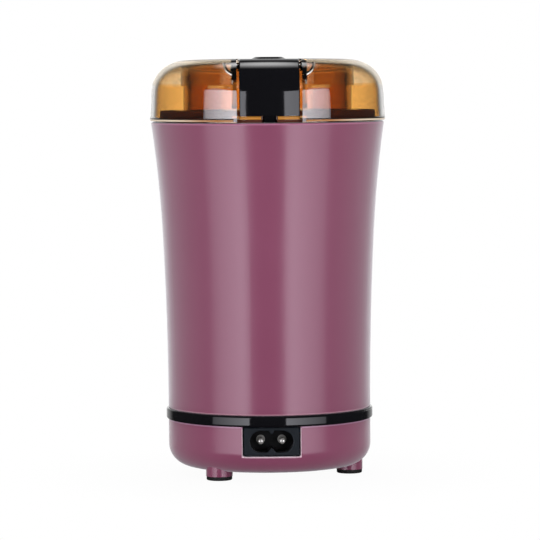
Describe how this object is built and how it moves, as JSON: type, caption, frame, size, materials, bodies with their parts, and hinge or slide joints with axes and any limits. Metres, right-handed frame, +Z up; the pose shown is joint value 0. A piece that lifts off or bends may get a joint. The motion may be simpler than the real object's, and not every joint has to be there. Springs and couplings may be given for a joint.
{
  "type": "coffee grinder",
  "caption": "Electric blade coffee grinder with a flared body, a see-through lid with a press key, a steel bowl with a blade, a motor inside and a figure-8 mains inlet in its base.",
  "frame": {"origin": "on the table under the middle of the grinder", "axes": "+Z up along the grinder's axis, -Y towards the side with the press key and the inlet"},
  "size_m": [0.097, 0.0968, 0.1706],
  "materials": {
    "mauve": "satin moulded plastic",
    "black_gloss": "polished",
    "black_satin": "satin moulded plastic",
    "amber": "clear, tinted",
    "rubber": "matt",
    "nickel": "bright plated",
    "stainless": "drawn and brushed",
    "spring_steel": "drawn wire",
    "zinc": "zinc plated",
    "iron": "stacked sheet",
    "diecast": "die cast",
    "copper": "enamelled wire",
    "brass": "stamped",
    "bronze": "sintered",
    "carbon": "pressed carbon",
    "white_plastic": "moulded",
    "lead_brown": "wire cover",
    "lead_blue": "wire cover"
  },
  "bodies": {
    "housing": {"base_cup": "mauve", "rubber_foot_1": "rubber", "rubber_foot_2": "rubber", "rubber_foot_3": "rubber", "base_screws": "zinc", "trim_ring": "black_gloss", "inlet_socket": "black_satin", "inlet_pin_left": "nickel", "inlet_pin_right": "nickel", "body_shell": "mauve", "bowl_carrier": "black_satin", "grinding_bowl": "stainless", "shaft_seal": "rubber", "rod_spring": "spring_steel", "micro_switch": "black_satin", "switch_terminals": "brass", "switch_screws": "zinc", "motor_damper": "rubber", "bracket_screws": "zinc", "upper_bracket": "diecast", "upper_bearing": "bronze", "stator_core": "iron", "field_coil_left": "copper", "field_coil_right": "copper", "lower_bracket": "diecast", "lower_bearing": "bronze", "motor_bolts": "zinc", "brush_holder_left": "brass", "brush_holder_right": "brass", "carbon_brush_left": "carbon", "carbon_brush_right": "carbon", "brush_spring_left": "spring_steel", "brush_spring_right": "spring_steel", "lead_live": "lead_brown", "lead_neutral": "lead_blue", "lead_motor": "lead_brown"},
    "lid": {"lid_dome": "amber", "hinge_pin": "zinc", "key_spring": "spring_steel"},
    "key": {"press_key": "black_gloss"},
    "rod": {"push_rod": "white_plastic", "switch_plunger": "white_plastic"},
    "rotor": {"motor_shaft": "zinc", "rotor_core": "iron", "rotor_winding": "copper", "commutator": "copper", "cooling_fan": "white_plastic", "blade_hub": "stainless", "blade": "stainless", "blade_nut": "stainless"}
  },
  "joints": [
    {"name": "lid_lift", "type": "slide", "parent": "housing", "child": "lid", "axis": [0, 0, 1], "range_m": [0, 0.06]},
    {"name": "key_press", "type": "hinge", "parent": "lid", "child": "key", "pos_m": [0, 0.016, 0.16675], "axis": [1, 0, 0], "range_deg": [0, 1.9], "stiffness_Nm_per_rad": 1.5, "springref_deg": -4.58, "deforming": ["key_spring"]},
    {"name": "rod_press", "type": "slide", "parent": "housing", "child": "rod", "axis": [0, 0, -1], "range_m": [0, 0.00195], "deforming": ["rod_spring"]},
    {"name": "rotor_spin", "type": "hinge", "parent": "housing", "child": "rotor", "pos_m": [0, 0, 0.07], "axis": [0, 0, 1], "continuous": true}
  ],
  "couplings": [
    {"joint": "rod_press", "follows": "key_press", "m_per_rad": 0.0585}
  ]
}
